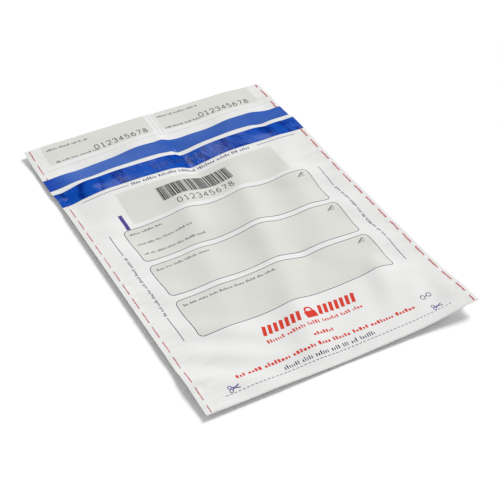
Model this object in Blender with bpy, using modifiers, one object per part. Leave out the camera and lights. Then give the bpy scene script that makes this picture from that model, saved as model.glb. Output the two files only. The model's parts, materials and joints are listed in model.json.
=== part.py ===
"""Cash deposit bag: a flat film envelope with a fold-over closure lip and two tear-off receipts.

Frame: +X across the width, +Y towards the lip and the receipts, +Z up from the table.
Origin: the centre of the bag's outline, at the height of the table. All sizes are metres.
The film is drawn thicker than it is, so that every layer is a solid of its own.
"""

import math

import bmesh
import bpy

# Outline
BAG_WIDTH = 0.250
BAG_LENGTH = 0.370
HALF_WIDTH = BAG_WIDTH / 2
BOTTOM_Y = -BAG_LENGTH / 2
TOP_Y = BAG_LENGTH / 2

# Layers
FILM_THICK = 0.0004
TAPE_THICK = 0.0003
WELD_THICK = 0.0010
GAP = 0.0003
FILM_APART = 0.0003  # from the seam's middle to the middle of each film beside it

# Positions along the bag
FOLD_Y = BOTTOM_Y + 0.305
MOUTH_Y = FOLD_Y - 0.002
BOTTOM_FOLD_WIDTH = 0.006
TEAR_Y = BOTTOM_Y + 0.338
RECEIPT_SPLIT_X = 0.002

# Widths
WELD_WIDTH = 0.006
TAPE_WIDTH = 0.0205
TAPE_TO_MOUTH = 0.002
LINER_WIDTH = 0.0175
LINER_TO_FOLD = 0.0045
ADHESIVE_WIDTH = 0.0135

# Heights of the middle of a film
SEAM_Z = 0.0045
SEAM_MOUTH_Z = 0.0025
FRONT_Z = 0.0086
BACK_Z = FILM_THICK / 2
LIP_Z = SEAM_MOUTH_Z - FILM_APART
FOLD_ROOM = 0.0044  # between the security tape and the liner once the lip is folded over

# How far the film takes to rise from its edges
SIDE_RAMP = 0.024
BOTTOM_RAMP = 0.028
MOUTH_RAMP = 0.035
SEAM_RAMP = 0.048
RAMP_STEPS = 5
LEVEL_STEPS = 4
MOUTH_STEPS = 8
FOLD_ARC_STEPS = 6

INNER_HALF = HALF_WIDTH - WELD_WIDTH - GAP
PANEL_START_Y = BOTTOM_Y + BOTTOM_FOLD_WIDTH + GAP
BACK_END_Y = FOLD_Y - GAP

WHITE_FILM = (0.80, 0.80, 0.80, 1.0)
FUSED_FILM = (0.74, 0.75, 0.76, 1.0)
SECURITY_BLUE = (0.004, 0.060, 0.390, 1.0)
LINER_BLUE = (0.065, 0.140, 0.460, 1.0)
ADHESIVE_CLEAR = (0.70, 0.71, 0.66, 1.0)
RECEIPT_GREY = (0.71, 0.72, 0.67, 1.0)


def clear_scene():
    for old in list(bpy.data.objects):
        bpy.data.objects.remove(old, do_unlink=True)


def new_collection(name):
    made = bpy.data.collections.new(name)
    bpy.context.scene.collection.children.link(made)
    return made


def new_material(name, colour, roughness):
    material = bpy.data.materials.new(name)
    material.use_nodes = True
    shader = material.node_tree.nodes["Principled BSDF"]
    shader.inputs["Base Color"].default_value = colour
    shader.inputs["Roughness"].default_value = roughness
    shader.inputs["Metallic"].default_value = 0.0
    return material


def ease(t):
    """A smooth step from 0 to 1 while t goes from 0 to 1."""
    t = min(max(t, 0.0), 1.0)
    return t * t * (3.0 - 2.0 * t)


def stations(*stretches):
    """Stations along one axis: each stretch is (start, end, steps), and the stretches follow on."""
    places = [stretches[0][0]]
    for start, end, steps in stretches:
        places += [start + (end - start) * (i + 1) / steps for i in range(steps)]
    return places


def seam_height(y):
    """The middle of the side seam, which comes down towards the mouth."""
    near_mouth = ease((y - (MOUTH_Y - SEAM_RAMP)) / SEAM_RAMP)
    return SEAM_Z + (SEAM_MOUTH_Z - SEAM_Z) * near_mouth


def inside_share(x, y):
    """0 at the side seams and the bottom fold, 1 over the level middle of the bag."""
    from_side = ease((INNER_HALF - abs(x)) / SIDE_RAMP)
    from_bottom = ease((y - PANEL_START_Y) / BOTTOM_RAMP)
    return from_side * from_bottom


def front_height(x, y):
    edge = seam_height(y) + FILM_APART
    return edge + (FRONT_Z - edge) * inside_share(x, y)


def back_height(x, y):
    edge = seam_height(y) - FILM_APART
    away_from_mouth = 1.0 - ease((y - (BACK_END_Y - MOUTH_RAMP)) / MOUTH_RAMP)
    return edge + (BACK_Z - edge) * inside_share(x, y) * away_from_mouth


def tape_height(x, y):
    """Over the front film, and over the side welds past its edges."""
    return front_height(x, y) + FILM_THICK / 2 + GAP + TAPE_THICK / 2


def across_panel():
    """Stations across the bag between its side welds, close together where the film rises."""
    level = INNER_HALF - SIDE_RAMP
    return stations(
        (-INNER_HALF, -level, RAMP_STEPS),
        (-level, level, LEVEL_STEPS),
        (level, INNER_HALF, RAMP_STEPS),
    )


def along_panel(end):
    """Stations from the bottom fold to the mouth, close together where the film rises."""
    ramp_end = PANEL_START_Y + BOTTOM_RAMP
    mouth_start = MOUTH_Y - SEAM_RAMP
    return stations(
        (PANEL_START_Y, ramp_end, RAMP_STEPS),
        (ramp_end, mouth_start, LEVEL_STEPS),
        (mouth_start, end, MOUTH_STEPS),
    )


def place(obj, collection, material, parent):
    """Puts the object in its collection, with its origin on its parent's joint axis."""
    obj.data.materials.append(material)
    collection.objects.link(obj)
    if parent is not None:
        obj.parent = parent


def surface(name, columns, rows, point, thickness, look, parent=None):
    """A grid whose corners are point(column, row), given its thickness equally on both sides."""
    collection, material = look
    offset = axis_place(parent)
    bm = bmesh.new()
    bmesh.ops.create_grid(bm, x_segments=len(columns) - 1, y_segments=len(rows) - 1, size=1.0)
    for v in bm.verts:
        i = round((v.co.x + 1.0) / 2.0 * (len(columns) - 1))
        j = round((v.co.y + 1.0) / 2.0 * (len(rows) - 1))
        x, y, z = point(columns[i], rows[j])
        v.co = (x - offset[0], y - offset[1], z - offset[2])
    mesh = bpy.data.meshes.new(name)
    bm.to_mesh(mesh)
    bm.free()
    obj = bpy.data.objects.new(name, mesh)
    place(obj, collection, material, parent)
    solidify = obj.modifiers.new("thickness", "SOLIDIFY")
    solidify.thickness = thickness
    solidify.offset = 0.0
    solidify.use_even_offset = True
    return obj


def film(name, xs, ys, height, thickness, look, parent=None):
    """A sheet over the stations xs and ys with its middle at height(x, y)."""
    return surface(name, xs, ys, lambda x, y: (x, y, height(x, y)), thickness, look, parent)


def flat_film(name, xs, ys, z, thickness, look, parent=None):
    """A level sheet between two stations each way."""
    return film(name, xs, ys, lambda x, y: z, thickness, look, parent)


def axis_empty(name, location, collection, parent=None):
    """An empty on a joint's axis; the pieces that turn or slide there are its children."""
    empty = bpy.data.objects.new(name, None)
    collection.objects.link(empty)
    above = axis_place(parent)
    empty.parent = parent
    empty.location = [here - there for here, there in zip(location, above)]
    empty["world_place"] = list(location)
    return empty


def axis_place(empty):
    return (0.0, 0.0, 0.0) if empty is None else tuple(empty["world_place"])


def side_weld(name, side, look):
    """The strip where both films are fused along one edge, from the bottom to the fold line."""
    edges = sorted((side * (HALF_WIDTH - WELD_WIDTH), side * HALF_WIDTH))
    straight_end = MOUTH_Y - SEAM_RAMP
    ys = stations((BOTTOM_Y, straight_end, 1), (straight_end, BACK_END_Y, MOUTH_STEPS))
    return film(name, edges, ys, lambda x, y: seam_height(y), WELD_THICK, look)


def bottom_fold(look):
    """The turn of film that joins the front to the back, a half circle along the bottom edge."""
    turn_y = BOTTOM_Y + FILM_THICK / 2 + FILM_APART
    end_y = BOTTOM_Y + BOTTOM_FOLD_WIDTH
    turn = [math.pi * (0.5 + i / FOLD_ARC_STEPS) for i in range(FOLD_ARC_STEPS + 1)]
    profile = [(end_y, SEAM_Z + FILM_APART)]
    profile += [
        (turn_y + FILM_APART * math.cos(angle), SEAM_Z + FILM_APART * math.sin(angle))
        for angle in turn
    ]
    profile.append((end_y, SEAM_Z - FILM_APART))
    return surface(
        "bottom_fold",
        (-INNER_HALF, INNER_HALF),
        profile,
        lambda x, at: (x, at[0], at[1]),
        FILM_THICK,
        look,
    )


def build_pouch(parts, looks):
    """Front and back films, their seams, and the security tape below the mouth."""
    film_look = (parts, looks["film"])
    weld_look = (parts, looks["weld"])
    xs = across_panel()
    film("back_panel", xs, along_panel(BACK_END_Y), back_height, FILM_THICK, film_look)
    film("front_panel", xs, along_panel(MOUTH_Y), front_height, FILM_THICK, film_look)
    side_weld("left_side_weld", -1, weld_look)
    side_weld("right_side_weld", 1, weld_look)
    bottom_fold(film_look)

    tape_end = MOUTH_Y - TAPE_TO_MOUTH
    film(
        "security_tape",
        [-HALF_WIDTH] + xs + [HALF_WIDTH],
        stations((tape_end - TAPE_WIDTH, tape_end, 3)),
        tape_height,
        TAPE_THICK,
        (parts, looks["tape"]),
    )


def build_lip(parts, looks):
    """The lip past the fold line, its adhesive, the release liner and the two receipts."""
    adhesive_z = LIP_Z + FILM_THICK / 2 + GAP + TAPE_THICK / 2
    liner_z = adhesive_z + TAPE_THICK + GAP
    tape_top = FRONT_Z + FILM_THICK / 2 + GAP + TAPE_THICK
    # Turned over by half a circle, the liner's face comes to rest above the tape
    fold_z = (liner_z + TAPE_THICK / 2 + tape_top + FOLD_ROOM) / 2
    fold_axis = axis_empty("lip_fold_axis", (0.0, FOLD_Y, fold_z), parts)

    full_width = (-HALF_WIDTH, HALF_WIDTH)
    flat_film(
        "closure_lip",
        full_width,
        (FOLD_Y + GAP / 2, TEAR_Y - GAP / 2),
        LIP_Z,
        FILM_THICK,
        (parts, looks["film"]),
        fold_axis,
    )

    liner_start = FOLD_Y + LINER_TO_FOLD
    band_middle = liner_start + LINER_WIDTH / 2
    flat_film(
        "adhesive_strip",
        (-INNER_HALF, INNER_HALF),
        (band_middle - ADHESIVE_WIDTH / 2, band_middle + ADHESIVE_WIDTH / 2),
        adhesive_z,
        TAPE_THICK,
        (parts, looks["adhesive"]),
        fold_axis,
    )

    peel_axis = axis_empty("liner_peel_axis", (-HALF_WIDTH, band_middle, liner_z), parts, fold_axis)
    flat_film(
        "release_liner",
        full_width,
        (liner_start, liner_start + LINER_WIDTH),
        liner_z,
        TAPE_THICK,
        (parts, looks["liner"]),
        peel_axis,
    )

    receipts = {
        "left_receipt": (-HALF_WIDTH, RECEIPT_SPLIT_X - GAP / 2),
        "right_receipt": (RECEIPT_SPLIT_X + GAP / 2, HALF_WIDTH),
    }
    for name, xs in receipts.items():
        tear_axis = axis_empty(name + "_tear_axis", (sum(xs) / 2, TEAR_Y, LIP_Z), parts, fold_axis)
        flat_film(
            name,
            xs,
            (TEAR_Y + GAP / 2, TOP_Y),
            LIP_Z,
            FILM_THICK,
            (parts, looks["receipt"]),
            tear_axis,
        )


def main():
    clear_scene()
    parts = new_collection("cash_deposit_bag")
    looks = {
        "film": new_material("white_film", WHITE_FILM, 0.38),
        "weld": new_material("fused_film", FUSED_FILM, 0.45),
        "tape": new_material("security_tape", SECURITY_BLUE, 0.22),
        "liner": new_material("release_liner", LINER_BLUE, 0.50),
        "adhesive": new_material("adhesive", ADHESIVE_CLEAR, 0.15),
        "receipt": new_material("receipt_film", RECEIPT_GREY, 0.50),
    }
    build_pouch(parts, looks)
    build_lip(parts, looks)


main()
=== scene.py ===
# Cash deposit bag in white film, closed by a fold-over lip, seen as it lies on a table.
# Lengths in the dictionaries are millimetres on the flat film, u from its left edge and v from its
# bottom edge, and heights are millimetres over the table.
import json
import math

import bpy
import numpy as np
from mathutils import Matrix, Vector


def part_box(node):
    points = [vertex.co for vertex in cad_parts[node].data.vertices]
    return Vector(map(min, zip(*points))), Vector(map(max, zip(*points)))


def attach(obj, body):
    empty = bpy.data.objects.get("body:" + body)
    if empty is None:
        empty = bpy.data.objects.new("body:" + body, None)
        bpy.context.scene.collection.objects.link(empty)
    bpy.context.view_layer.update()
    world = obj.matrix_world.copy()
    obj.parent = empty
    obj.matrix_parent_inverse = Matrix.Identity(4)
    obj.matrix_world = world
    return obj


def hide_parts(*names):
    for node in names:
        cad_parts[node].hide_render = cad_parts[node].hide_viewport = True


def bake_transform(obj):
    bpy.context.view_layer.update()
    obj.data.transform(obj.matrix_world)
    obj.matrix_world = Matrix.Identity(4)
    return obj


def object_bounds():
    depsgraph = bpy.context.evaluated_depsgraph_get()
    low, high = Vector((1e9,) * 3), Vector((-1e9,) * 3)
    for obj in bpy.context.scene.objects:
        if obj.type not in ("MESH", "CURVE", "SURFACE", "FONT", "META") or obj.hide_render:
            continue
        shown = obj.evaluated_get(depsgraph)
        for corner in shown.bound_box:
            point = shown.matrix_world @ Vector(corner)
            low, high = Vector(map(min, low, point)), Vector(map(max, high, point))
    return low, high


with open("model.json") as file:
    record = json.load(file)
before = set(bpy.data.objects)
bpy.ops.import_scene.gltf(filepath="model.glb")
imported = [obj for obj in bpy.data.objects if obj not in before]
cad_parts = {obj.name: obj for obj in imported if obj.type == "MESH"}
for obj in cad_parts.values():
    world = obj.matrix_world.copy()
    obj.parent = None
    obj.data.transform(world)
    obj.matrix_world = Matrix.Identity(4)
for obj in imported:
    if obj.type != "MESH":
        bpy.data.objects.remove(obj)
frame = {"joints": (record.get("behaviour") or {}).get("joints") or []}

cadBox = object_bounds()
mm = 0.001
tableCorner = cadBox[0]
bagWide = (cadBox[1].x - cadBox[0].x) / mm
bagLong = (cadBox[1].y - cadBox[0].y) / mm


def spanOf(node):
    # Where a node of the part lies on the flat film: (u0, u1, v0, v1)
    low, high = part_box(node)
    return (
        (low.x - tableCorner.x) / mm,
        (high.x - tableCorner.x) / mm,
        (low.y - tableCorner.y) / mm,
        (high.y - tableCorner.y) / mm,
    )


def jointNamed(name):
    return next(j for j in frame["joints"] if j["name"] == name)


foldLine = (jointNamed("lip_fold")["pos_m"][1] - tableCorner.y) / mm
tearLine = (spanOf("closure_lip")[3] + spanOf("left_receipt")[2]) / 2
splitLine = (spanOf("left_receipt")[1] + spanOf("right_receipt")[0]) / 2
weldWide = spanOf("left_side_weld")[1]


def ease(t):
    # 0 below 0, 1 above 1, and 3t^2 - 2t^3 between
    t = np.clip(t, 0.0, 1.0)
    return t * t * (3 - 2 * t)


def hump(t):
    # A bell, e to the power of -t^2: 1 at 0 and 0.37 at 1
    return np.exp(-t * t)


def risesAt(v, rises):
    # The sum of smooth steps, each given as (where it starts, its length, its height)
    total = np.zeros_like(v)
    for start, ramp, high in rises:
        total += high * ease((v - start) / ramp)
    return total


def bellsAt(u, v, bells):
    # The sum of oval bells, each given as (u, v, height, half width, half length)
    total = np.zeros_like(u)
    for acrossAt, alongAt, high, wide, long in bells:
        total += high * hump((u - acrossAt) / wide) * hump((v - alongAt) / long)
    return total


# The film's relief. All of the layers follow the front film's height, topHeight.

seams = {
    "left": {"level": 4.4, "rises": ((266, 16, -1.2), (344, 26, 2.3)), "bell": (30, 15, 1.8)},
    "right": {"level": 4.6, "rises": ((302, 8, -2.0), (330, 18, 2.6)), "bell": (296, 60, 3.2)},
    "liftedCorner": (bagWide, 0, 8.0, 38, 36),
    "lowMiddle": (118, 0, -1.8, 42, 24),
}


def seamHeight(side, v):
    # A level, with smooth steps and one bell along it
    seam = seams[side]
    place, half, high = seam["bell"]
    return seam["level"] + risesAt(v, seam["rises"]) + high * hump((v - place) / half)


def edgeHeight(u, v):
    # From the left seam's height to the right seam's in proportion to u, with a bell at the bottom's
    # lifted corner and a sunk one at its middle
    share = u / bagWide
    across = seamHeight("left", v) * (1 - share) + seamHeight("right", v) * share
    return across + bellsAt(u, v, (seams["liftedCorner"], seams["lowMiddle"]))


slack = {
    "bandsBack": ((266, 16, 1.2), (300, 9, 2.0), (332, 30, -3.2)),      # v, ramp, distance
    "bandsBackReach": 24,       # how far from the left edge that is felt
    "bandsOut": ((292, 14, 1.3),),
    "bandsOutReach": 26,
    "freeEdgeOn": ((330, 40, 1.3),),
    "cornerIn": (bagWide, 0, 2.3, 30, 20),
}


def drift(u, v):
    # How far slack moves a point in the film's own plane, as (across, along): the left ends of the
    # bands are pulled back and out, the lifted lower corner is drawn in, and the receipts' free edge
    # reaches on a little
    back = risesAt(v, slack["bandsBack"]) * hump(u / slack["bandsBackReach"])
    out = risesAt(v, slack["bandsOut"]) * hump(u / slack["bandsOutReach"])
    return -out - bellsAt(u, v, (slack["cornerIn"],)), risesAt(v, slack["freeEdgeOn"]) - back


relief = {
    "trough": 4.9,              # the front film between its ridges
    "ridges": ((63, 0.8, 4.4, 15), (120, 3.4, 4.6, 15), (171, 0.3, 3.3, 15)),   # u, foot, head, half width
    "ridgeFoot": 79,            # v where the ridges' places and first heights are given
    "ridgeHead": 225,           # v of their second heights
    "ridgeSlant": 0.235,        # how far a ridge goes to the right for each millimetre up
    "knoll": (200, 64, 4.2, 19, 36),
    "mouthCrest": 8.8,
    "mouthValley": 5.8,
    "valleyPlace": 128.5,
    "valleyLeft": 10,
    "valleyRight": 27,
    "valleyPower": 1.5,
    "mouthFrom": 232,
    "mouthRamp": 46,
    "lipRamp": 22,
    "lipLevel": 4.9,            # past the closure bands
    "lipCrests": ((108, 3.4, 26), (203, 3.2, 26)),      # u, height, half width
    "sideRamp": 30,
    "bottomRamp": 30,
    "freeEndFrom": 330,
    "freeEndCalm": 0.75,        # how much of the inner relief is gone at the receipts' free edge
    "freeEndBow": 2.4,          # how much that edge rises between its corners
    "bowPower": 5,
    "edgeWaves": 0.3,           # the share of the faint waves that the seams keep
}

hollows = (                     # u, v, height, half width and half length of single bumps and hollows
    (50, 205, -2.3, 20, 40), (90, 177, -2.5, 15, 20), (128, 172, 2.1, 17, 22), (170, 165, 1.2, 26, 24),
    (110, 222, -1.5, 16, 14), (160, 222, -1.2, 10, 12), (191, 222, 1.8, 13, 13), (106, 110, 1.4, 17, 24),
    (157, 120, -1.2, 9, 12), (203, 82, 0.7, 13, 14), (28, 278, -1.8, 14, 12), (128, 276, -1.4, 18, 14),
    (36, 320, -2.4, 20, 18), (88, 328, 1.5, 14, 12), (135, 328, -1.6, 12, 14), (188, 324, 1.2, 15, 20),
    (219, 306, -2.4, 9, 9), (222, 331, 1.9, 16, 10), (120, 330, 1.4, 5, 12), (123, 308, 1.5, 4, 9),
    (204, 280, -0.7, 20, 9), (96, 281, -0.3, 16, 8),
)

crease = {"place": 126.5, "slant": 0.06, "deep": 0.3, "half": 1.9, "middle": 308, "halfLong": 34}


def hollowsAt(u, v):
    # The sum of the bumps and hollows, less a narrow bell along the slanting crease across the bands
    off = u - crease["place"] - crease["slant"] * (v - foldLine)
    sunk = crease["deep"] * hump(off / crease["half"]) * hump((v - crease["middle"]) / crease["halfLong"])
    return bellsAt(u, v, hollows) - sunk


def insideShare(u, v):
    # 0 at the side seams and at the bottom fold, 1 a ramp's length inside them
    fromSide = np.minimum(u, bagWide - u) - weldWide
    return ease(fromSide / relief["sideRamp"]) * ease(v / relief["bottomRamp"])


def ridgesAt(u, v):
    # Slanting soft ridges: the sum of bells across a coordinate that leans to the right
    across = u - relief["ridgeSlant"] * (v - relief["ridgeFoot"])
    up = ease((v - relief["ridgeFoot"]) / (relief["ridgeHead"] - relief["ridgeFoot"]))
    total = bellsAt(u, v, (relief["knoll"],))
    for place, foot, head, wide in relief["ridges"]:
        total += (foot + (head - foot) * up) * hump((across - place) / wide)
    return total


def mouthHeight(u):
    # Two crests with one valley between them, steep on its left and long on its right
    off = u - relief["valleyPlace"]
    wide = np.where(off < 0, relief["valleyLeft"], relief["valleyRight"])
    dip = np.exp(-np.abs(off / wide) ** relief["valleyPower"])
    return relief["mouthCrest"] - relief["mouthValley"] * dip


def lipProfile(u):
    # Past the bands: a level with two bells on it
    total = np.full_like(u, relief["lipLevel"])
    for place, high, wide in relief["lipCrests"]:
        total += high * hump((u - place) / wide)
    return total


gathers = {
    "high": 1.0,
    "reach": 19,                # how far in from the seams the puckers fade
    "lean": 0.25,
    "crestWave": 0.29,
    "crestSway": (0.8, 0.083),
    "plainWave": 0.43,
    "patchWave": 0.053,
}


def puckers(u, v):
    # Short folds square to the side seams: a wave with narrow crests and a plain one, fading inwards
    fromSide = np.maximum(np.minimum(u, bagWide - u) - weldWide, 0.0)
    lean = v + gathers["lean"] * fromSide * np.sign(u - bagWide / 2)
    sway, swayWave = gathers["crestSway"]
    turn = lean * gathers["crestWave"] + sway * np.sin(lean * swayWave)
    crest = 1 - 2 * np.sqrt(np.abs(np.sin(turn)) + 0.01)
    wave = 0.6 * crest + 0.4 * np.sin(lean * gathers["plainWave"] + 1.0)
    patchy = 0.55 + 0.45 * np.sin(lean * gathers["patchWave"] + 2.0 * (u > bagWide / 2))
    fade = np.exp(-fromSide / gathers["reach"]) * ease(fromSide / 5 + 0.3)
    return gathers["high"] * wave * patchy * fade


swells = {
    # u, half width, height, crest's v, pitch
    "rows": ((32, 16, -1.1, 108, 51.5), (222, 15, 1.7, 164, 54)),
    "start": (52, 20),          # v and ramp
    "end": (228, 16),
}


def sideSwells(u, v):
    # Beside each seam the film rises and sinks along the bag: a cosine under a bell
    (start, startRamp), (end, endRamp) = swells["start"], swells["end"]
    alongForm = ease((v - start) / startRamp) * (1 - ease((v - end) / endRamp))
    total = np.zeros_like(u)
    for place, wide, high, crest, pitch in swells["rows"]:
        total += high * hump((u - place) / wide) * np.cos((v - crest) / pitch * 2 * np.pi)
    return total * alongForm


cornerFolds = (
    # bell's u, v, half width and half length, then height, shares of u and v, wave number
    (40, 45, 45, 38, 0.8, 0.55, 0.9, 0.21),
    (205, 60, 50, 45, 0.35, 0.95, -0.35, 0.24),
)


def slackFolds(u, v):
    # Slack film in the two lower corners: waves across slanting lines, under a bell each
    total = np.zeros_like(u)
    for acrossAt, alongAt, wide, long, high, shareU, shareV, wave in cornerFolds:
        bell = hump((u - acrossAt) / wide) * hump((v - alongAt) / long)
        total += high * bell * np.sin((shareU * u + shareV * v) * wave)
    return total


faintWaves = (                  # wave numbers across and along, height, start
    (0.13, 0.08, 0.11, 0.3), (-0.07, 0.16, 0.09, 1.9), (0.21, -0.11, 0.05, 4.0), (0.05, 0.27, 0.04, 2.2),
)


def softWaves(u, v):
    # Faint long waves everywhere, the sum of four plane waves
    total = np.zeros_like(u)
    for along, up, high, start in faintWaves:
        total += high * np.sin(along * u + up * v + start)
    return total


def topHeight(u, v):
    # The outer face's height: the seams' height, with the ridges added inside them
    inside = insideShare(u, v)
    nearMouth = ease((v - relief["mouthFrom"]) / relief["mouthRamp"])
    level = (relief["trough"] + ridgesAt(u, v)) * (1 - nearMouth) + mouthHeight(u) * nearMouth
    overLip = ease((v - foldLine) / relief["lipRamp"])
    level = level * (1 - overLip) + lipProfile(u) * overLip
    freeEnd = ease((v - relief["freeEndFrom"]) / (bagLong - relief["freeEndFrom"]))
    edge = edgeHeight(u, v)
    arch = 1 - np.abs(2 * u / bagWide - 1) ** relief["bowPower"]
    bow = relief["freeEndBow"] * arch * freeEnd
    kept = relief["edgeWaves"] + (1 - relief["edgeWaves"]) * inside
    small = puckers(u, v) + sideSwells(u, v) + slackFolds(u, v) + softWaves(u, v) * kept
    calm = inside * (1 - relief["freeEndCalm"] * freeEnd)
    return edge + (level + hollowsAt(u, v) - edge) * calm + bow + small


layers = {
    "lipUnder": 0.3,            # the lip's film under the front film's height, at the seams
    "lipDrop": 2.0,             # and how much more inside them, at the mouth
    "dropFade": (8, 14, 0.6),   # where past the fold that starts to fade, its ramp, and the share that goes
    "backRise": (55, 52),       # where before the fold the back film starts to rise, and its ramp
    "tableLift": 0.06,
}


def lipHeight(u, v):
    # The back film's height past the mouth: it follows the front film, a little below it
    past, ramp, gone = layers["dropFade"]
    drop = layers["lipDrop"] * (1 - gone * ease((v - foldLine - past) / ramp))
    return topHeight(u, v) - layers["lipUnder"] - drop * insideShare(u, v)


def backHeight(u, v):
    # The back film: flat on the table in the middle, up to the seams and to the lip
    before, ramp = layers["backRise"]
    awayFromMouth = 1 - ease((v - (foldLine - before)) / ramp)
    lying = insideShare(u, v) * awayFromMouth
    high = lipHeight(u, v)
    return high + (layers["tableLift"] - high) * lying


# Patches of film and ink, as (u, v, faces), and the meshes made of them

def gridFaces(rows, columns):
    # Quads of a grid of points, anticlockwise seen from above when u runs along the columns
    i = np.arange(rows * columns).reshape(rows, columns)
    return np.stack([i[:-1, :-1], i[:-1, 1:], i[1:, 1:], i[1:, :-1]], -1).reshape(-1, 4)


def steps(start, end, step):
    # Even places from start to end, a step apart or a little less
    return np.linspace(start, end, max(2, int(math.ceil((end - start) / step)) + 1))


def panel(u0, u1, v0, v1, step=1.5, radius=0.0):
    # A rectangle, or one with round corners: rows of points whose ends follow the corners' circles
    rows = steps(v0, v1, step)
    if radius:
        corner = radius * (1 - np.cos(np.linspace(0, np.pi / 2, 7)))
        middle = rows[(rows > v0 + radius) & (rows < v1 - radius)]
        rows = np.unique(np.concatenate([v0 + corner, v1 - corner, middle]))
    fromEnd = np.clip(radius - np.minimum(rows - v0, v1 - rows), 0, None)
    inset = radius - np.sqrt(np.maximum(radius ** 2 - fromEnd ** 2, 0))
    columns = len(steps(u0, u1, step))
    share = np.linspace(0, 1, columns)
    u = (u0 + inset)[:, None] + ((u1 - inset) - (u0 + inset))[:, None] * share[None, :]
    v = np.repeat(rows[:, None], columns, 1)
    return u.ravel(), v.ravel(), gridFaces(len(rows), columns)


def ribbon(points, wide, step=1.4, closed=False):
    # A line drawn with a pen: each point of the path goes half a width to both sides of it
    path = np.array(points, float)
    if closed:
        path = np.vstack([path, path[:1]])
    lengths = np.hypot(*np.diff(path, axis=0).T)
    along = np.concatenate([[0], np.cumsum(lengths)])
    stops = np.unique(np.round(np.concatenate([along, np.arange(0, along[-1], step)]), 6))
    u, v = np.interp(stops, along, path[:, 0]), np.interp(stops, along, path[:, 1])
    if closed:
        u, v = u[:-1], v[:-1]
        before = np.stack([u, v]) - np.roll([u, v], 1, 1)
        after = np.roll([u, v], -1, 1) - np.stack([u, v])
    else:
        ahead = np.diff(np.stack([u, v]))
        before, after = np.hstack([ahead[:, :1], ahead]), np.hstack([ahead, ahead[:, -1:]])
    before, after = before / np.hypot(*before), after / np.hypot(*after)
    way = before + after
    way /= np.maximum(np.hypot(*way), 1e-6)
    mitre = 1 / np.maximum((way * before).sum(0), 0.6)
    side = np.stack([-way[1], way[0]]) * wide / 2 * mitre
    gridU, gridV = np.stack([u + side[0], u - side[0]], 1), np.stack([v + side[1], v - side[1]], 1)
    faces = gridFaces(len(u), 2)[:, ::-1]
    if closed:
        last = 2 * (len(u) - 1)
        faces = np.vstack([faces, [last, 0, 1, last + 1][::-1]])
    return gridU.ravel(), gridV.ravel(), faces[:, ::-1]


def blocks(boxes):
    # Many small rectangles (u0, u1, v0, v1) at once, one quad each
    u0, u1, v0, v1 = np.array(boxes, float).T
    u, v = np.stack([u0, u1, u1, u0], 1), np.stack([v0, v0, v1, v1], 1)
    return u.ravel(), v.ravel(), np.arange(len(u0) * 4).reshape(-1, 4)


def arc(centre, radius, start, end, count=10):
    # Points on a circle, from one angle to another in degrees
    turn = np.radians(np.linspace(start, end, count))
    return np.stack([centre[0] + radius * np.cos(turn), centre[1] + radius * np.sin(turn)], 1)


def roundedPath(u0, u1, v0, v1, radius):
    # Four quarter circles joined by straight sides
    return np.vstack([
        arc((u1 - radius, v0 + radius), radius, -90, 0),
        arc((u1 - radius, v1 - radius), radius, 0, 90),
        arc((u0 + radius, v1 - radius), radius, 90, 180),
        arc((u0 + radius, v0 + radius), radius, 180, 270),
    ])


def pieceFrom(name, patches, height, lift, thick, finish):
    # Patches laid on a height function, given a thickness to both sides, with sharp rims
    points, faces, count = [], [], 0
    for u, v, quads in patches:
        points.append(np.stack([u, v], 1))
        faces.append(quads + count)
        count += len(u)
    u, v = np.vstack(points).T
    across, along = drift(u, v)
    film = np.stack([u + across, v + along, height(u, v) + lift], 1)
    return meshPiece(name, film, np.vstack(faces), thick, finish)


def meshPiece(name, film, faces, thick, finish):
    # Film millimetres to metres in the bag's frame, then Solidify, applied
    place = film * mm + np.array([tableCorner.x, tableCorner.y, tableCorner.z])
    mesh = bpy.data.meshes.new(name)
    mesh.from_pydata(place.tolist(), [], faces.tolist())
    mesh.update()
    made = bpy.data.objects.new(name, mesh)
    bpy.context.scene.collection.objects.link(made)
    solid = made.modifiers.new("gauge", "SOLIDIFY")
    solid.thickness = thick * mm
    solid.offset = 0
    solid.use_even_offset = False
    bpy.context.view_layer.update()
    finished = bpy.data.meshes.new_from_object(made.evaluated_get(bpy.context.evaluated_depsgraph_get()))
    made.modifiers.clear()
    made.data = finished
    bpy.data.meshes.remove(mesh)
    finished.name = name
    finished.shade_smooth()
    finished.set_sharp_from_angle(angle=math.radians(40))
    finished.materials.clear()
    finished.materials.append(finish)
    return made


# Each digit as pen strokes in a box one wide and one high

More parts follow.
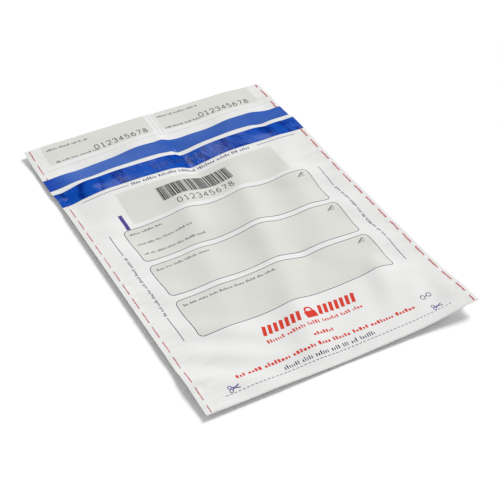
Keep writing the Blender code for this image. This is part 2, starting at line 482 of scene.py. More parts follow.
digitStrokes = {
    "0": [[(0.25, 0), (0.75, 0), (1, 0.2), (1, 0.8), (0.75, 1), (0.25, 1), (0, 0.8), (0, 0.2), (0.25, 0)]],
    "1": [[(0.2, 0.78), (0.55, 1), (0.55, 0)], [(0.2, 0), (0.9, 0)]],
    "2": [[(0, 0.8), (0.22, 1), (0.78, 1), (1, 0.8), (1, 0.6), (0, 0), (1, 0)]],
    "3": [[(0, 0.86), (0.25, 1), (0.75, 1), (1, 0.82), (1, 0.66), (0.75, 0.53), (0.4, 0.53)],
          [(0.75, 0.53), (1, 0.38), (1, 0.18), (0.75, 0), (0.25, 0), (0, 0.14)]],
    "4": [[(0.78, 0), (0.78, 1), (0, 0.3), (1, 0.3)]],
    "5": [[(0.95, 1), (0.1, 1), (0.06, 0.56), (0.7, 0.6), (1, 0.42), (1, 0.2), (0.72, 0), (0.22, 0),
           (0, 0.12)]],
    "6": [[(0.85, 1), (0.3, 0.82), (0, 0.45), (0, 0.2), (0.25, 0), (0.75, 0), (1, 0.2), (1, 0.38),
           (0.75, 0.56), (0.25, 0.56), (0, 0.4)]],
    "7": [[(0, 1), (1, 1), (0.4, 0)]],
    "8": [[(0.5, 0.53), (0.12, 0.68), (0.12, 0.86), (0.35, 1), (0.65, 1), (0.88, 0.86), (0.88, 0.68),
           (0.5, 0.53), (1, 0.35), (1, 0.14), (0.75, 0), (0.25, 0), (0, 0.14), (0, 0.35), (0.5, 0.53)]],
}


digitWide, digitInset = 0.6, 0.2        # shares of the pitch between digits


def number(digits, u0, u1, v, high, pen):
    # Evenly spaced digits between u0 and u1, each one drawn with its strokes
    pitch = (u1 - u0) / len(digits)
    made = []
    for i, digit in enumerate(digits):
        for stroke in digitStrokes[digit]:
            corner = (u0 + pitch * (i + digitInset), v)
            made.append(ribbon(np.array(stroke) * (pitch * digitWide, high) + corner, pen))
    return made


greeked = {                     # shares of the line's height, apart from the first
    "group": (3, 9),
    "wide": (0.22, 0.42),
    "tall": (0.62, 0.62, 0.7, 1.0, 1.1),
    "gap": 0.32,
    "space": 0.6,
}


def greekedLine(start, end, foot, high, draw, upright=False, bold=1.0):
    # A line of plain blocks in groups of three to eight, in place of a line of words
    boxes, at = [], start
    while at < end - high:
        for _ in range(draw.integers(*greeked["group"])):
            wide = high * draw.uniform(*greeked["wide"]) * bold
            tall = high * draw.choice(greeked["tall"])
            if at + wide > end:
                break
            boxes.append((at, at + wide, foot, foot + tall))
            at += wide + high * greeked["gap"]
        at += high * greeked["space"]
    if upright:
        boxes = [(foot - (b[3] - foot), foot, b[0], b[1]) for b in boxes]
    return blocks(boxes)


class Flow:
    # A number that varies over a surface: arithmetic on it adds Math nodes
    def __init__(self, maker, socket):
        self.maker, self.socket = maker, socket

    def maths(self, operation, first, second):
        made = self.maker.node("ShaderNodeMath", {"operation": operation}, {0: first, 1: second})
        return Flow(self.maker, made.outputs[0])

    def __add__(self, other):
        return self.maths("ADD", self, other)

    def __sub__(self, other):
        return self.maths("SUBTRACT", self, other)

    def __rsub__(self, other):
        return self.maths("SUBTRACT", other, self)

    def __mul__(self, other):
        return self.maths("MULTIPLY", self, other)

    def __abs__(self):
        return self.maths("ABSOLUTE", self, 0.0)

    __radd__ = __add__
    __rmul__ = __mul__


class Finish:
    # One material, with its uniform values set on the Principled BSDF's own sockets
    def __init__(self, name, **uniform):
        self.material = bpy.data.materials.new(name)
        self.material.use_nodes = True
        self.tree = self.material.node_tree
        self.surface = self.tree.nodes["Principled BSDF"]
        for socket, value in uniform.items():
            self.surface.inputs[socket.replace("_", " ")].default_value = value

    def node(self, kind, settings, values):
        # Any node: its settings first, then what its sockets are given
        made = self.tree.nodes.new(kind)
        for key, value in settings.items():
            if key == "stops":
                self.setStops(made.color_ramp, value)
            else:
                setattr(made, key, value)
        for key, value in values.items():
            self.feed(made.inputs[key], value)
        return made

    def setStops(self, ramp, stops):
        ramp.elements[0].position, ramp.elements[0].color = stops[0]
        ramp.elements[1].position, ramp.elements[1].color = stops[-1]
        for place, colour in stops[1:-1]:
            ramp.elements.new(place).color = colour

    def feed(self, socket, value):
        if isinstance(value, Flow):
            self.tree.links.new(value.socket, socket)
        elif isinstance(value, bpy.types.NodeSocket):
            self.tree.links.new(value, socket)
        else:
            socket.default_value = value

    def spots(self, scale, stretch=(1, 1, 1), detail=3.0, rough=0.55):
        # Noise from 0 to 1 over the piece, in object coordinates
        where = self.node("ShaderNodeTexCoord", {}, {}).outputs["Object"]
        turned = self.node("ShaderNodeMapping", {}, {"Vector": where, "Scale": stretch}).outputs[0]
        made = self.node("ShaderNodeTexNoise", {}, {"Vector": turned, "Scale": scale, "Detail": detail,
                                                    "Roughness": rough})
        return Flow(self, made.outputs[0])

    def acrossBag(self):
        # The place across the bag, in metres from its middle
        where = self.node("ShaderNodeTexCoord", {}, {}).outputs["Object"]
        return Flow(self, self.node("ShaderNodeSeparateXYZ", {}, {"Vector": where}).outputs[0])

    def ramp(self, share, *stops):
        # Grey levels at given places of a number, with straight lines between them
        greys = [(place, (grey, grey, grey, 1)) for place, grey in stops]
        return self.node("ShaderNodeValToRGB", {"stops": greys}, {0: share}).outputs[0]

    def between(self, share, low, high):
        made = self.node("ShaderNodeMix", {"data_type": "RGBA"}, {0: share, 6: low, 7: high})
        return made.outputs[2]

    def finish(self, colour=None, roughness=None, bump=None, depth=0.0001, coat=None):
        if colour is not None:
            self.feed(self.surface.inputs["Base Color"], colour)
        if roughness is not None:
            self.feed(self.surface.inputs["Roughness"], roughness)
        if coat is not None:
            self.feed(self.surface.inputs["Coat Weight"], coat)
        if bump is not None:
            made = self.node("ShaderNodeBump", {}, {"Strength": 1.0, "Distance": depth, "Height": bump})
            self.feed(self.surface.inputs["Normal"], made.outputs[0])
        return self.material


def tint(red, green, blue):
    # Screen values from 0 to 255, to the linear colour that the shader takes
    share = np.array([red, green, blue]) / 255
    linear = np.where(share < 0.04045, share / 12.92, ((share + 0.055) / 1.055) ** 2.4)
    return (*(float(c) for c in linear), 1.0)


gatherFade = ((0.075, 0), (0.118, 1))      # metres from the bag's middle, and how much creases show


def filmFinish(name, light, dark, smooth):
    # Blown film: faint lengthwise draw lines, small crinkles, patches of gloss, and short creases
    # square to the side seams that fade inwards
    made = Finish(name, Specular_IOR_Level=0.5)
    cloud = made.spots(34, detail=4)
    drawn = made.spots(90, (6, 0.35, 1), detail=2)
    crinkle = made.spots(420, (1, 1, 1), detail=5, rough=0.62)
    nearSeam = Flow(made, made.ramp(abs(made.acrossBag()), *gatherFade))
    gathered = made.spots(62, (0.45, 2.2, 1), detail=4, rough=0.6) * nearSeam
    colour = made.between(cloud, tint(*dark), tint(*light))
    relieved = crinkle * 0.6 + drawn * 0.5 + cloud * 1.6 + gathered * 14.0
    return made.finish(colour, smooth + cloud * 0.16, relieved, 0.00009)


def inkFinish(name, light, dark, rough=0.5):
    # Printing ink: thin and thick patches, with the film's crinkles under it
    made = Finish(name, Specular_IOR_Level=0.4)
    thin = made.spots(260, detail=4, rough=0.6)
    crinkle = made.spots(420, detail=4)
    colour = made.between(thin, tint(*dark), tint(*light))
    return made.finish(colour, rough + thin * 0.12, crinkle, 0.00004)


def weldFinish():
    # Two films fused by a hot bar: a little greyer and glossier, with the bar's fine cross ribs
    made = Finish("fusedFilm", Specular_IOR_Level=0.5)
    cloud = made.spots(60, detail=3)
    where = made.node("ShaderNodeTexCoord", {}, {}).outputs["Object"]
    ribs = made.node("ShaderNodeTexWave", {"bands_direction": "Y", "wave_profile": "SIN"},
                     {"Vector": where, "Scale": 260.0, "Distortion": 1.5, "Detail": 1.0})
    ribbed = Flow(made, ribs.outputs["Fac"])
    colour = made.between(cloud, tint(222, 224, 223), tint(236, 237, 235))
    return made.finish(colour, 0.3 + cloud * 0.14, ribbed * 0.5 + cloud, 0.00006)


def tapeFinish():
    # Deep blue glossy tape, with painted shade darkening it along the valleys of its creases, and long low
    # ripples in the gloss
    made = Finish("tapeBlue", Coat_Roughness=0.08, Specular_IOR_Level=0.3)
    cloud = made.spots(26, (1, 2.5, 1), detail=3)
    creases = made.spots(52, (2.2, 0.7, 1), detail=5, rough=0.6)
    fine = made.spots(500, detail=3)
    # painted shade: the blue darkens where the creases' bump is low
    dark = made.ramp(creases, (0.36, 1), (0.52, 0))
    blue = made.between(cloud, tint(0, 62, 170), tint(18, 86, 186))
    colour = made.between(dark, blue, tint(0, 44, 136))
    return made.finish(colour, 0.14 + cloud * 0.1, creases + fine * 0.05, 0.0008, 0.05 + cloud * 0.2)


# Metres from the liner's left end, and how much the milky haze with painted sheen, or the firm bond, shows
# there
linerHazeAndSheen = (
    (0.02, 0.2), (0.038, 0.9), (0.085, 0.85), (0.105, 0.4), (0.14, 0.15), (0.165, 0.4), (0.25, 0.2),
)
linerBonded = ((0.008, 1), (0.022, 0))


def linerFinish():
    # Milky release film over the adhesive: clouded blue, with lighter purple-tinted patches left of the
    # middle that are partly its milky haze and partly painted sheen
    made = Finish("linerBlue", Specular_IOR_Level=0.35)
    cloud = made.spots(38, (1, 2, 1), detail=5)
    crinkle = made.spots(330, (1, 1, 1), detail=4)
    blue = made.between(cloud, tint(14, 74, 170), tint(36, 92, 182))
    fromLeft = made.acrossBag() + cloud * 0.012 - cadBox[0].x
    # partly painted sheen: lighter purple-tinted blue at given places along the band, over the film's milky
    # haze
    milkyAndSheen = made.between(made.ramp(fromLeft, *linerHazeAndSheen), blue, tint(74, 110, 192))
    colour = made.between(made.ramp(fromLeft, *linerBonded), milkyAndSheen, tint(4, 66, 172))
    return made.finish(colour, 0.34 + cloud * 0.16, crinkle * 0.3 + cloud, 0.00012)


def glueFinish():
    # Half clear adhesive with a warm cast and a wavy gloss
    made = Finish("glueClear", Specular_IOR_Level=0.5, Transmission_Weight=0.3)
    cloud = made.spots(120, detail=3)
    colour = made.between(cloud, tint(206, 205, 190), tint(222, 221, 208))
    return made.finish(colour, 0.12 + cloud * 0.1, cloud, 0.00015)


finishes = {
    "film": filmFinish("whiteFilm", (234, 234, 233), (228, 228, 227), 0.42),
    "panel": inkFinish("panelGrey", (219, 220, 213), (214, 215, 208), 0.5),
    "weld": weldFinish(),
    "tape": tapeFinish(),
    "liner": linerFinish(),
    "glue": glueFinish(),
    "black": inkFinish("printDark", (62, 58, 66), (44, 40, 50)),
    "grey": inkFinish("serialGrey", (104, 102, 99), (86, 84, 82)),
    "navy": inkFinish("printNavy", (62, 64, 104), (46, 50, 88)),
    "tapeInk": inkFinish("tapePrint", (66, 66, 108), (48, 50, 96), 0.35),
    "red": inkFinish("printRed", (226, 66, 44), (206, 46, 34)),
    "rose": inkFinish("printRose", (206, 84, 86), (186, 62, 66)),
    "purple": inkFinish("printPurple", (92, 72, 152), (74, 54, 134)),
    # painted shade of the perforation's slits
    "pale": inkFinish("perforationShade", (198, 182, 190), (178, 166, 176)),
}
print("finishes", len(finishes))


films = {
    "gauge": 0.1,
    "frontStep": 1.5,
    "backStep": 2.4,
    "weldGauge": 0.24,
    "weldLift": -0.03,
    "weldFoot": 0.2,
    "overlap": 0.4,
    "overFold": 0.9,       # where the front film starts, on top of the bottom fold
    "slit": 0.02,          # half the cut between films that a perforation joins
}


def makeFilms():
    # Front film between the welds, back film over the full width with the lip, and the two welds
    lapped, foldEnd, mouth = films["overlap"], spanOf("bottom_fold")[3], spanOf("front_panel")[3]
    inner = (weldWide - lapped, bagWide - weldWide + lapped)
    sheet = panel(*inner, films["overFold"], mouth, films["frontStep"])
    front = pieceFrom("frontFilm", [sheet], topHeight, 0, films["gauge"], finishes["film"])
    sheet = panel(0, bagWide, foldEnd - lapped, tearLine - films["slit"], films["backStep"])
    back = pieceFrom("backFilm", [sheet], backHeight, 0, films["gauge"], finishes["film"])
    fused = []
    for name, u0, u1 in (("leftWeld", 0, weldWide), ("rightWeld", bagWide - weldWide, bagWide)):
        strip = panel(u0, u1, films["weldFoot"], spanOf("left_side_weld")[3], films["frontStep"])
        fused.append(pieceFrom(name, [strip], topHeight, films["weldLift"], films["weldGauge"],
                               finishes["weld"]))
    return front, back, fused


fold = {
    "radius": 0.35,
    "gauge": 0.08,
    "under": 0.12,         # how far its upper leg lies below the front film
    "inset": 0.1,
    "stepAlong": 1.2,
    "stepAcross": 1.5,
    "closing": 0.3,        # how much of the gap between the legs is gone at their ends
}


def makeBottomFold():
    # A half turn along the bottom edge: back along the table side, round, and forward on top
    foldEnd = spanOf("bottom_fold")[3]
    radius = fold["radius"]
    turn = np.linspace(-np.pi / 2, -3 * np.pi / 2, 9)
    flat = steps(radius, foldEnd, fold["stepAlong"])
    leg = np.full(len(flat) - 1, radius)
    profileV = np.concatenate([flat[:0:-1], radius + radius * np.cos(turn), flat[1:]])
    profileZ = np.concatenate([-leg, radius * np.sin(turn), leg])
    columns = steps(fold["inset"], bagWide - fold["inset"], fold["stepAcross"])
    u, v = np.meshgrid(columns, profileV)
    apart = profileZ[:, None] * (1 - fold["closing"] * ease(v / foldEnd))
    z = topHeight(u, v) - radius - fold["under"] + apart
    across, along = drift(u, v)
    film = np.stack([(u + across).ravel(), (v + along).ravel(), z.ravel()], 1)
    faces = gridFaces(len(profileV), len(columns))
    return meshPiece("bottomFold", film, faces, fold["gauge"], finishes["film"])


bands = (                   # piece, node, the film it lies on, lift, gauge, finish
    ("securityTape", "security_tape", topHeight, 0.2, 0.08, "tape"),
    ("adhesiveStrip", "adhesive_strip", lipHeight, 0.1, 0.06, "glue"),
    ("releaseLiner", "release_liner", lipHeight, 0.2, 0.08, "liner"),
)
bandStep = 1.25


def makeTapes():
    return [pieceFrom(name, [panel(*spanOf(node), bandStep)], height, lift, gauge, finishes[finish])
            for name, node, height, lift, gauge, finish in bands]


def makeReceipts():
    # Two strips past the tear line, cut apart at the split line
    made = []
    slit, foot, head = films["slit"], tearLine + films["slit"], spanOf("left_receipt")[3]
    for name, u0, u1 in (("leftReceipt", spanOf("left_receipt")[0], splitLine - slit),
                         ("rightReceipt", splitLine + slit, spanOf("right_receipt")[1])):
        strip = panel(u0, u1, foot, head, films["frontStep"])
        made.append(pieceFrom(name, [strip], lipHeight, 0, films["gauge"], finishes["film"]))
    return made


frontFilm, backFilm, welds = makeFilms()
bottomFold = makeBottomFold()
securityTape, adhesiveStrip, releaseLiner = makeTapes()
leftReceipt, rightReceipt = makeReceipts()
print("films and tapes")


# The printing: ink a little over the film that it lies on

ink = {
    "gauge": 0.02,
    "panelLift": 0.08,
    "slitLift": 0.1,
    "lift": 0.11,
    "barLift": 0.12,
    "dashLift": 0.13,
    "bandLift": 0.27,
}


def printed(name, patches, finish, body="bag", height=topHeight, lift="lift"):
    # Ink on the film, moving with the body that it is printed on
    piece = pieceFrom(name, patches, height, ink[lift], ink["gauge"], finishes[finish])
    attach(piece, body)
    return piece


fields = {
    "rows": ((176.5, 222.8), (127, 170.3), (74.3, 120.7)),      # lowest and highest v
    "sides": (32.9, 216.8),
    "radius": 4.5,
    "label": (46.5, 205.5, 228.5, 269.5),       # the panel behind the barcode
    "step": 1.5,
}


def makePanels():
    step, radius = fields["step"], fields["radius"]
    patches = [panel(*fields["sides"], low, high, step, radius) for low, high in fields["rows"]]
    patches.append(panel(*fields["label"], step))
    return printed("formPanels", patches, "panel", lift="panelLift")


rules = {
    "pen": 0.55,
    "across": 275.8,                            # v of the line beside the keep-shut notice
    "acrossRuns": ((17, 63), (195, 237)),
    "beside": (20, 230.6),                      # u of the lines along the bag
    "besideRuns": ((193, 222), (77, 108)),
    "penSign": (8, 6),                          # in from a field's upper right corner
    "cut": (21.7, 229, 10.2),
    "cutPitch": 3.6,
    "cutDash": 2.2,
    "cutPen": 0.5,
    "rings": (217, 29.5),
}


def ringSign(u, v):
    # Two open rings side by side with a short link between them
    rings = [ribbon(arc((u + side * 3.2, v + side * 0.6), 2.1, 0, 342, 16), 0.6, 0.7, closed=True)
             for side in (-1, 1)]
    return rings + [ribbon([(u - 1.2, v - 0.2), (u + 1.2, v + 0.2)], 0.6, 0.7)]


def penSign(u, v):
    # A small writing hand: a pen, its point, the line it writes, and the edge of the hand
    return [
        ribbon([(u - 3.0, v - 1.8), (u + 2.6, v + 2.2)], 0.9, 0.8),
        ribbon([(u - 4.4, v - 2.7), (u - 3.0, v - 1.8)], 0.35, 0.8),
        ribbon([(u - 5.4, v - 2.9), (u + 2.4, v - 2.9)], 0.4, 0.8),
        ribbon([(u - 1.2, v - 1.6), (u + 2.6, v - 0.6), (u + 3.0, v + 0.8)], 0.4, 0.8),
    ]


def makeFormLines():
    # The fields' outlines, the rules beside them, the pen signs, the dotted cut line and the rings
    pen, (u0, u1) = rules["pen"], fields["sides"]
    patches = []
    for low, high in fields["rows"]:
        patches.append(ribbon(roundedPath(u0, u1, low, high, fields["radius"]), pen, closed=True))
        patches += penSign(u1 - rules["penSign"][0], high - rules["penSign"][1])
    for start, end in rules["acrossRuns"]:
        patches.append(ribbon([(start, rules["across"]), (end, rules["across"])], pen))
    for u in rules["beside"]:
        patches += [ribbon([(u, start), (u, end)], pen) for start, end in rules["besideRuns"]]
    cut0, cut1, cutV = rules["cut"]
    for start in np.arange(cut0, cut1, rules["cutPitch"]):
        end = min(start + rules["cutDash"], cut1)
        patches.append(ribbon([(start, cutV), (end, cutV)], rules["cutPen"]))
    return printed("formLines", patches + ringSign(*rules["rings"]), "navy")


captions = {
    "fields": ((37, 68, 216), (37, 90, 200.5), (37, 95, 185.5), (38, 88, 163), (38, 127, 113)),
    "fieldHigh": 2.3,
    "keepShut": (66, 190, 274.4, 3.5),
    "opening": (75, 163, 12.8, 3.6),
    "openingBold": 0.75,
    "beside": (110, 191),
    "besideOff": 1.1,
    "besideHigh": 2.3,
}


def makeCaptions():
    draw = np.random.default_rng(3)
    patches = [greekedLine(u0, u1, v, captions["fieldHigh"], draw) for u0, u1, v in captions["fields"]]
    patches.append(greekedLine(*captions["keepShut"], draw))
    patches.append(greekedLine(*captions["opening"], draw, bold=captions["openingBold"]))
    for u in rules["beside"]:
        foot, high = u + captions["besideOff"], captions["besideHigh"]
        patches.append(greekedLine(*captions["beside"], foot, high, draw, upright=True))
    return printed("formCaptions", patches, "navy")


barCode = {
    "span": (82.5, 154.5, 243, 261),
    "module": 0.5,
    "endRoom": 1.5,
    "step": 2.0,
}

serial = {
    "digits": "012345678",
    "label": (91.5, 149.5, 232.3, 6.2),
    "band": (93, 146, 287.5, 6.0),
    "pen": 0.8,
}


def makeBarcode():
    # Upright bars of one to three modules, with gaps of one or two, and the serial number twice
    draw = np.random.default_rng(11)
    u0, u1, v0, v1 = barCode["span"]
    module, at, patches = barCode["module"], u0, []
    while at < u1 - barCode["endRoom"]:
        wide = module * draw.choice([1, 1, 2, 3])
        patches.append(panel(at, at + wide, v0, v1, barCode["step"]))
        at += wide + module * draw.choice([1, 1, 2])
    onLabel = number(serial["digits"], *serial["label"], serial["pen"])
    onBand = number(serial["digits"], *serial["band"], serial["pen"])
    return (
        printed("barcode", patches, "black", lift="barLift"),
        printed("serialDigits", onLabel, "grey", lift="barLift"),
        printed("bandDigits", onBand, "tapeInk", lift="bandLift"),
    )


emblem = {
    "span": (79, 166, 50.5, 62.5),
    "barPen": 3.1,
    "barPitch": 5.2,
    "barLean": 3.2,
    "lockHalf": 5,
    "lockShare": 0.62,          # the lock body's share of the emblem's height
    "shackleHalf": 3,
    "shacklePen": 1.6,
    "lockRoom": 8,              # from the middle to the first bar
    "lines": ((77, 169, 43.2, 3.4, 1.2), (112, 132, 31.5, 3.2, 1.6), (37, 206, 21.3, 3.4, 1.7)),
}


def makeEmblem():
    # A plain padlock between slanting bars, with three bold lines of blocks below it
    draw = np.random.default_rng(5)
    u0, u1, v0, v1 = emblem["span"]
    middle, high, half = (u0 + u1) / 2, v1 - v0, emblem["lockHalf"]
    patches = [panel(middle - half, middle + half, v0, v0 + high * emblem["lockShare"], 1.2, 1.0)]
    side, foot, bend = emblem["shackleHalf"], v0 + high * 0.6, v0 + high * 0.72
    bow = arc((middle, bend), side, 180, 0)
    shackle = np.vstack([[(middle - side, foot)], bow, [(middle + side, foot)]])
    patches.append(ribbon(shackle, emblem["shacklePen"], 1.0))
    for start, end in ((u0, middle - emblem["lockRoom"]), (middle + emblem["lockRoom"], u1)):
        for at in np.arange(start, end - 3, emblem["barPitch"]):
            slant = [(at, v0 + 1), (at + emblem["barLean"], v1 - 1)]
            patches.append(ribbon(slant, emblem["barPen"], 1.2))
    patches += [greekedLine(*line, draw, bold=bold) for *line, bold in emblem["lines"]]
    return printed("redPrint", patches, "red")


signs = {
    "marker": (37.5, 41, 223.5, 243.5),
    "markerRadius": 0.3,
    "scissors": ((31, 14.5), (218, 14.5)),
}


def scissorSign(u, v):
    # Two crossing blades with a ring on each
    made = []
    for side in (1, -1):
        made.append(ribbon(arc((u - 3.2, v + side * 1.8), 1.4, 0, 340, 14), 0.6, 0.6, closed=True))
        made.append(ribbon([(u - 2.0, v + side * 1.1), (u + 4.6, v - side * 1.7)], 0.9, 0.8))
    return made


def makeSigns():
    bar = panel(*signs["marker"], 1.2, signs["markerRadius"])
    cuts = [patch for place in signs["scissors"] for patch in scissorSign(*place)]
    return printed("fillMarker", [bar], "purple"), printed("cutSigns", cuts, "purple")


dashes = {
    "first": -4.4,
    "long": 13.5,
    "left": {"place": 4.7, "wide": 1.15, "period": 18.9},
    "right": {"place": 246.3, "wide": 1.9, "period": 19.4},
    "blockPitch": 1.3,
    "blockLong": 1.05,
    "blockRoom": 0.3,
    "uneven": (0.55, 1.1),
}


def dashBlocks(side, start, end):
    # Each dash is a row of tiny blocks of uneven width, like very small print
    draw = np.random.default_rng(17)
    u, half = dashes[side]["place"], dashes[side]["wide"] / 2
    boxes = []
    for at in np.arange(dashes["first"], bagLong, dashes[side]["period"]):
        low, high = max(at, start), min(at + dashes["long"], end)
        for foot in np.arange(low, high - dashes["blockRoom"], dashes["blockPitch"]):
            out, back = half * draw.uniform(*dashes["uneven"], 2)
            boxes.append((u - out, u + back, foot, min(foot + dashes["blockLong"], high)))
    return boxes


def makeDashes():
    # The dashes along both seams, in one piece for each body that they are printed on
    made, both = [], ("left", "right")
    bagRun = (1.0, spanOf("security_tape")[2] + 1)
    lipRun = (spanOf("release_liner")[3] - 1, tearLine - 0.4)
    stubRun = (tearLine + 0.4, bagLong - 0.5)
    runs = (
        ("weldDashes", "bag", bagRun, topHeight, both),
        ("lipDashes", "lip", lipRun, lipHeight, both),
        ("leftStubDashes", "left_stub", stubRun, lipHeight, ("left",)),
        ("rightStubDashes", "right_stub", stubRun, lipHeight, ("right",)),
    )
    for name, body, run, height, sides in runs:
        boxes = [box for side in sides for box in dashBlocks(side, *run)]
        made.append(printed(name, [blocks(boxes)], "rose", body, height, "dashLift"))
    return made


stubs = {
    "left": {"body": "left_stub", "sides": (15, 121), "serial": (60, 116.5),
             "captions": ((19, 62, 361), (21.5, 64, 344))},
    "right": {"body": "right_stub", "sides": (131, 235), "serial": (170.5, 226.5),
              "captions": ((133, 177, 361.5), (133, 172, 344))},
    "panelFoot": 343,
    "panelRadius": 4.0,
    "serialFoot": 345.4,
    "serialHigh": 5.8,
    "serialPen": 0.85,
    "captionHigh": 2.3,
}


def makeReceiptPrint():
    # On each stub a write-on panel, the serial number and two captions
    draw = np.random.default_rng(8)
    made = {}
    for side in ("left", "right"):
        stub = stubs[side]
        on = (stub["body"], lipHeight)
        ground = panel(*stub["sides"], stubs["panelFoot"], bagLong - 0.05, 1.5, stubs["panelRadius"])
        marks = number(serial["digits"], *stub["serial"], stubs["serialFoot"], stubs["serialHigh"],
                       stubs["serialPen"])
        words = [greekedLine(a, b, v, stubs["captionHigh"], draw) for a, b, v in stub["captions"]]
        made[side] = [
            printed(side + "StubPanel", [ground], "panel", *on, "panelLift"),
            printed(side + "StubDigits", marks, "grey", *on, "dashLift"),
            printed(side + "StubCaptions", words, "navy", *on, "barLift"),
        ]
    return made


perforation = {
    "pitch": 2.2,
    "long": 0.9,
    "below": (1.0, 0.45),       # from the tear line down to the slits' far and near sides
    "margin": 7,
    "splitPitch": 2.3,
    "splitLong": 1.0,
    "splitOff": 2.0,
    "splitHalf": 0.35,
    "splitStart": 1.5,
}


def makePerforation():
    # Rows of short slits, drawn as pale marks of painted shade, on the lip below the tear line and beside
    # the split between the stubs
    far, near = perforation["below"]
    starts = np.arange(perforation["margin"], bagWide - perforation["margin"], perforation["pitch"])
    across = blocks([(u, u + perforation["long"], tearLine - far, tearLine - near) for u in starts])
    made = [printed("tearSlits", [across], "pale", "lip", lipHeight, "slitLift")]
    half, long = perforation["splitHalf"], perforation["splitLong"]
    starts = np.arange(tearLine + perforation["splitStart"], bagLong - 1, perforation["splitPitch"])
    for name, body, side in (("leftSplitSlits", "left_stub", -1), ("rightSplitSlits", "right_stub", 1)):
        u = splitLine + side * perforation["splitOff"]
        down = blocks([(u - half, u + half, v, v + long) for v in starts])
        made.append(printed(name, [down], "pale", body, lipHeight, "slitLift"))
    return made


formPanels = makePanels()
formLines = makeFormLines()
formCaptions = makeCaptions()
barcode, serialDigits, bandDigits = makeBarcode()
redPrint = makeEmblem()
marker, scissors = makeSigns()
weldDashes, lipDashes, leftDashes, rightDashes = makeDashes()
stubPrint = makeReceiptPrint()
tearSlits, leftSlits, rightSlits = makePerforation()
print("printing")


# What rides on what: most pieces are attached to the body they move with, and the back film's and the
# liner's transforms are baked into their meshes

bends = {
    "foldHalf": 3.5,
    "linerRoot": 16,
}

for piece in (frontFilm, bottomFold, securityTape, *welds):
    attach(piece, "bag")
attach(adhesiveStrip, "lip")
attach(leftReceipt, "left_stub")
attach(rightReceipt, "right_stub")

foldY = tableCorner.y + foldLine * mm
foldHalf = bends["foldHalf"] * mm
foldY - foldHalf
foldY + foldHalf
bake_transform(backFilm)
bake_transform(releaseLiner)

for piece, slot, *nodes in (
    (frontFilm, "white_film", "front_panel"),
    (backFilm, "white_film", "back_panel", "closure_lip"),
    (welds[0], "fused_film", "left_side_weld"),
    (welds[1], "fused_film", "right_side_weld"),
    (bottomFold, "white_film", "bottom_fold"),
    (securityTape, "security_tape", "security_tape"),
    (adhesiveStrip, "adhesive", "adhesive_strip"),
    (releaseLiner, "release_liner", "release_liner"),
    (leftReceipt, "receipt_film", "left_receipt"),
    (rightReceipt, "receipt_film", "right_receipt"),
):
    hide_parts(*nodes)


def flatSize(node, more=0.0):
    # A node's width and length from above, with more millimetres of length where the film reaches on
    u0, u1, v0, v1 = spanOf(node)
    return (u1 - u0) * mm, (v1 - v0 + more) * mm


lipLong = tearLine - spanOf("bottom_fold")[3]
overFold = spanOf("front_panel")[2] - films["overFold"]
reachOn = slack["freeEdgeOn"][0][2]
flatSize("front_panel", overFold)
lipLong * mm
flatSize("security_tape")
flatSize("release_liner")
flatSize("left_receipt", reachOn)
flatSize("right_receipt", reachOn)


table = {
    "side": 8.0,        # metres
    "rough": 0.9,
    "pale": (250, 250, 250),
    "white": (254, 254, 254),
}


def makeTable():
    half, low = table["side"] / 2, cadBox[0].z
    mesh = bpy.data.meshes.new("table")
    corners = [(-half, -half, low), (half, -half, low), (half, half, low), (-half, half, low)]
    mesh.from_pydata(corners, [], [(0, 1, 2, 3)])
    ground = bpy.data.objects.new("table", mesh)
    bpy.context.scene.collection.objects.link(ground)
    made = Finish("tableWhite", Specular_IOR_Level=0.1, Roughness=table["rough"])
    colour = made.between(made.spots(2.0), tint(*table["pale"]), tint(*table["white"]))
    ground.data.materials.append(made.finish(colour))


lights = {
    "fill": 0.5,
    "keyStrength": 2.45,
    "keyAngle": 22,
    "keyHeading": 26,      # degrees from +X towards +Y
    "keyHigh": 46,
    "glossPlace": (0.75, 1.35, 1.5),
    "glossSize": (0.9, 0.35),
    "glossPower": 3.0,
}


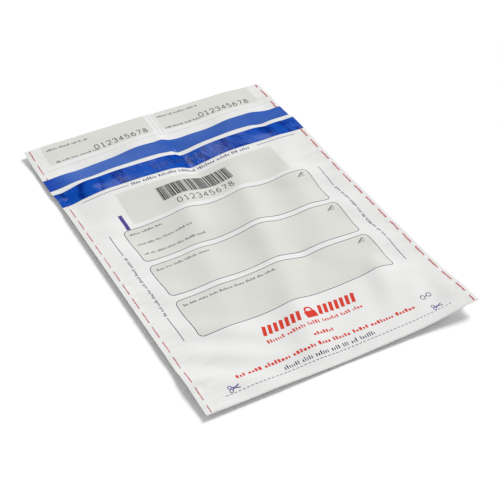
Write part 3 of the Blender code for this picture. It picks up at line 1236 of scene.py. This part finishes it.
def placeLamp(name, lamp, towards):
    # A lamp object that shines from the direction it is given
    placed = bpy.data.objects.new(name, lamp)
    bpy.context.scene.collection.objects.link(placed)
    placed.rotation_euler = Vector(towards).to_track_quat("Z", "Y").to_euler()
    return placed


def makeLight():
    # An even white fill, a soft key from the upper right, and a panel that only glosses reflect
    world = bpy.data.worlds.new("studio")
    bpy.context.scene.world = world
    world.use_nodes = True
    sky = world.node_tree.nodes["Background"]
    sky.inputs["Color"].default_value = (1, 1, 1, 1)
    sky.inputs["Strength"].default_value = lights["fill"]
    world.cycles_visibility.glossy = False
    key = bpy.data.lights.new("key", "SUN")
    key.energy = lights["keyStrength"]
    key.angle = math.radians(lights["keyAngle"])
    heading, high = math.radians(lights["keyHeading"]), math.radians(lights["keyHigh"])
    towards = (math.cos(high) * math.cos(heading), math.cos(high) * math.sin(heading), math.sin(high))
    placeLamp("key", key, towards).visible_glossy = False
    gloss = bpy.data.lights.new("glossPanel", "AREA")
    gloss.shape = "RECTANGLE"
    gloss.size, gloss.size_y = lights["glossSize"]
    gloss.energy = lights["glossPower"]
    glossPanel = placeLamp("glossPanel", gloss, lights["glossPlace"])
    glossPanel.location = lights["glossPlace"]
    glossPanel.visible_diffuse = False


view = {
    "place": (-0.3924, -0.7231, 0.6809),
    "right": (0.8758, -0.4821, 0.0100),
    "up": (0.3075, 0.5734, 0.7582),
    "lens": 87.5,
    "sensor": 36.0,
    "clip": (0.05, 20),
}


def makeCamera():
    # Turned by three axes at right angles: right, up, and back from what it sees
    right, up = Vector(view["right"]).normalized(), Vector(view["up"])
    up = (up - right * up.dot(right)).normalized()
    lens = bpy.data.cameras.new("camera")
    lens.lens = view["lens"]
    lens.sensor_width = view["sensor"]
    lens.clip_start, lens.clip_end = view["clip"]
    camera = bpy.data.objects.new("camera", lens)
    bpy.context.scene.collection.objects.link(camera)
    turn = Matrix((right, up, right.cross(up))).transposed().to_4x4()
    camera.matrix_world = Matrix.Translation(Vector(view["place"])) @ turn
    bpy.context.scene.camera = camera


makeTable()
makeLight()
makeCamera()
bpy.context.scene.view_settings.view_transform = "Standard"
print("studio")
